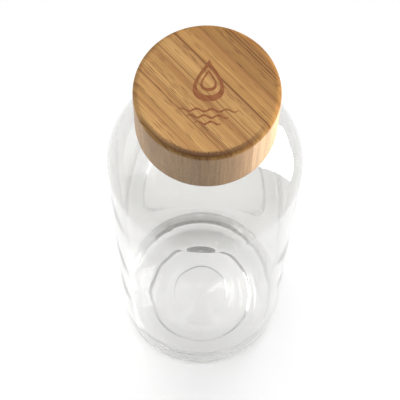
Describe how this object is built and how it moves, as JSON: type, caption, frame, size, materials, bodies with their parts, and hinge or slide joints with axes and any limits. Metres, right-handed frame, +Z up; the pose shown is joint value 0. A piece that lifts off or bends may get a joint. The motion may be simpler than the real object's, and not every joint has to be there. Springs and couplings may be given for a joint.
{
  "type": "glass water bottle",
  "caption": "Clear glass water bottle with a rounded shoulder and narrow neck, closed by a screw-on bamboo lid with a plastic thread liner and a silicone seal.",
  "frame": {"origin": "centre of the ring that the bottle stands on", "axes": "+Z up along the bottle's axis, from the base to the lid"},
  "size_m": [0.073, 0.073, 0.22],
  "materials": {
    "clear_glass": "clear, polished",
    "silicone": "translucent white, matte",
    "liner_plastic": "moulded, satin",
    "bamboo": "sanded and oiled, satin"
  },
  "bodies": {
    "bottle": {"glass_bottle": "clear_glass"},
    "seal": {"seal_ring": "silicone"},
    "lid": {"thread_liner": "liner_plastic", "lid_strip_1": "bamboo", "lid_strip_2": "bamboo", "lid_strip_3": "bamboo", "lid_strip_4": "bamboo", "lid_strip_5": "bamboo", "lid_strip_6": "bamboo", "lid_strip_7": "bamboo"}
  },
  "joints": [
    {"name": "cap_rise", "type": "slide", "parent": "bottle", "child": "seal", "axis": [0, 0, 1], "range_m": [0, 0.022]},
    {"name": "cap_turn", "type": "hinge", "parent": "seal", "child": "lid", "pos_m": [0, 0, 0.22], "axis": [0, 0, 1], "range_deg": [0, 1800]}
  ],
  "couplings": [
    {"joint": "cap_rise", "follows": "cap_turn", "m_per_rad": 0.00070028}
  ]
}
